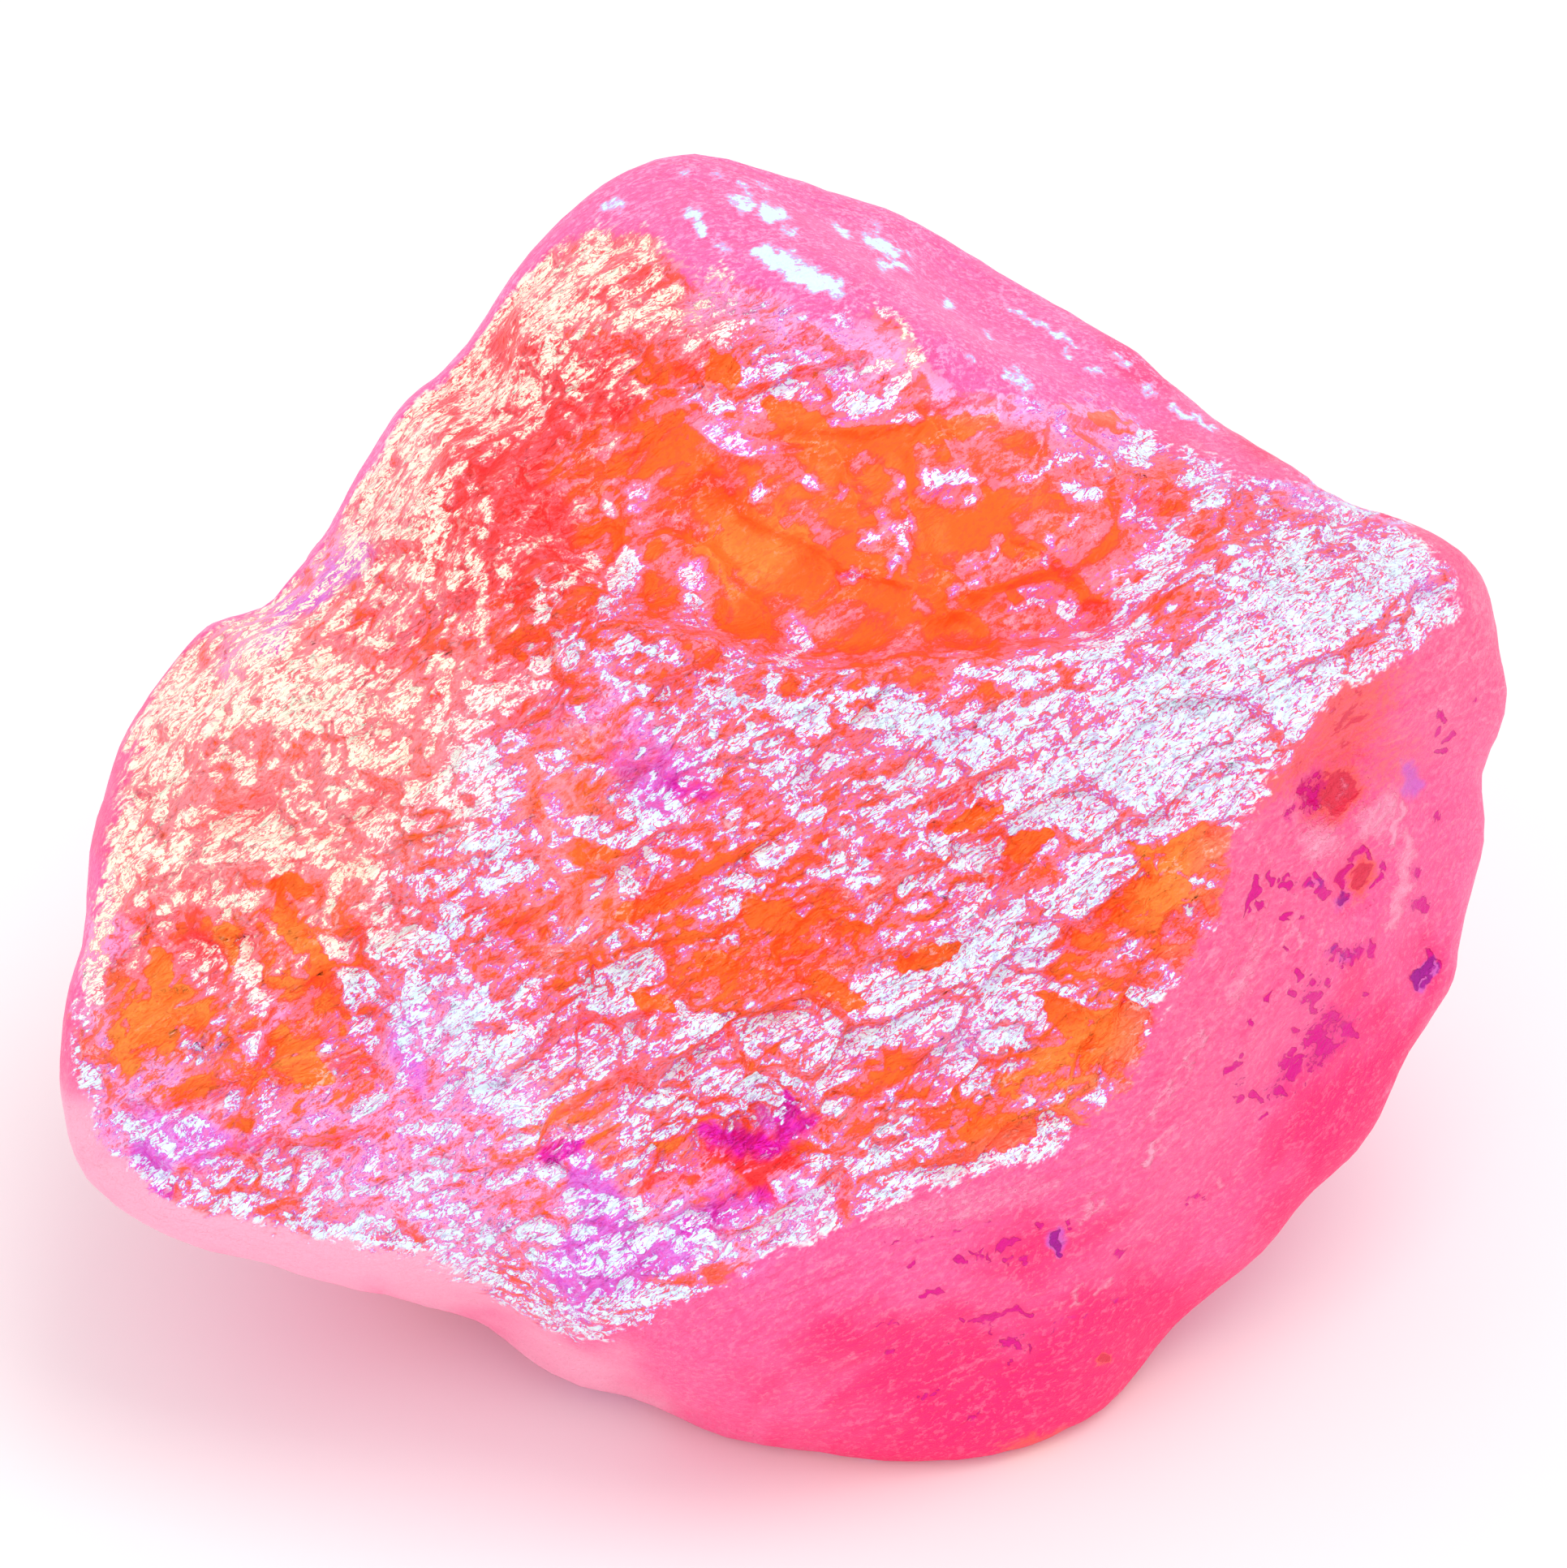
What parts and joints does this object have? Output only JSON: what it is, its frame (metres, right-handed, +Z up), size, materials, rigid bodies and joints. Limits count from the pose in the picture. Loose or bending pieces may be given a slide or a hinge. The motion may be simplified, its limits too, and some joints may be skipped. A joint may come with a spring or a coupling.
{
  "type": "raw angel aura quartz",
  "caption": "Raw aura-coated quartz chunk with a hackly broken front and top, a hollow in its top and a smooth worn rind.",
  "frame": {"origin": "bottom centre of the stone's bounding box, on the surface it rests on", "axes": "+X along the stone's longest extent, to the right seen from the broken front; +Y towards the back; +Z up"},
  "size_m": [0.05, 0.0404, 0.0352],
  "materials": {
    "aura_quartz": "gloss"
  },
  "bodies": {
    "root": {"quartz_chunk": "aura_quartz"}
  },
  "joints": []
}
